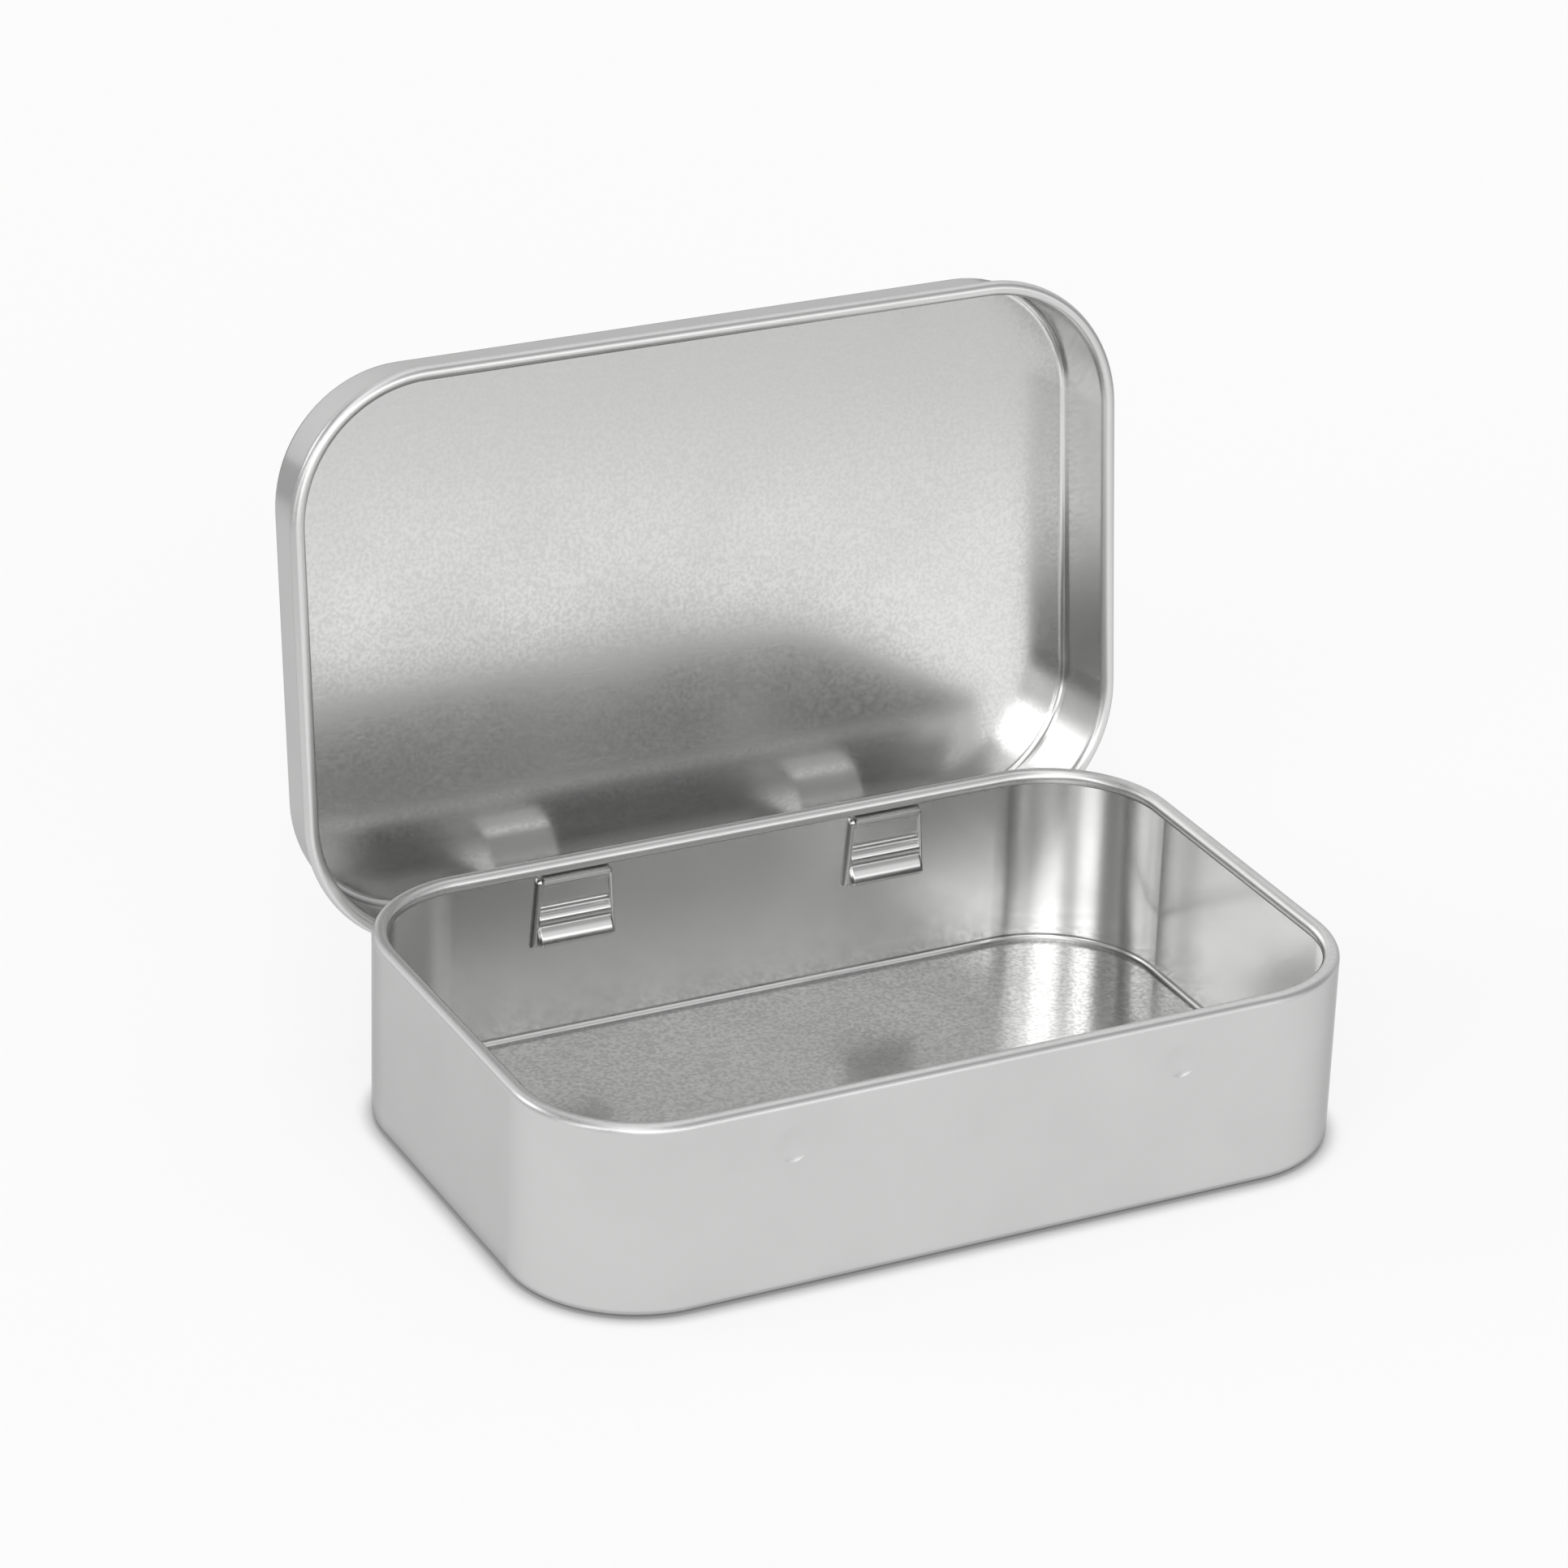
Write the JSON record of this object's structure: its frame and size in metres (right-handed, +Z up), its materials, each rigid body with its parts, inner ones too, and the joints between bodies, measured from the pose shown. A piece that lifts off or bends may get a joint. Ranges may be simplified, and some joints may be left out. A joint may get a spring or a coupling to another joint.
{
  "type": "hinged tin",
  "caption": "Pocket-size rectangular metal tin with rounded corners, a rolled rim on tub and lid, and a lid hinged along the long back wall, shown open.",
  "frame": {"origin": "middle of the tub's flat underside, on the surface the tin stands on", "axes": "+X along the hinge line, to the right seen from the open front; +Y towards the hinged back wall; +Z up"},
  "size_m": [0.0988, 0.0763, 0.0777],
  "materials": {
    "tub_sheet": "satin tinplate with a fine grain",
    "lid_sheet": "satin tinplate with a fine grain"
  },
  "bodies": {
    "tub": {"tin_base": "tub_sheet"},
    "lid": {"tin_lid": "lid_sheet"}
  },
  "joints": [
    {"name": "lid_hinge", "type": "hinge", "parent": "tub", "child": "lid", "pos_m": [0, 0.03145, 0.01418], "axis": [1, 0, 0], "range_deg": [0, 96]}
  ]
}
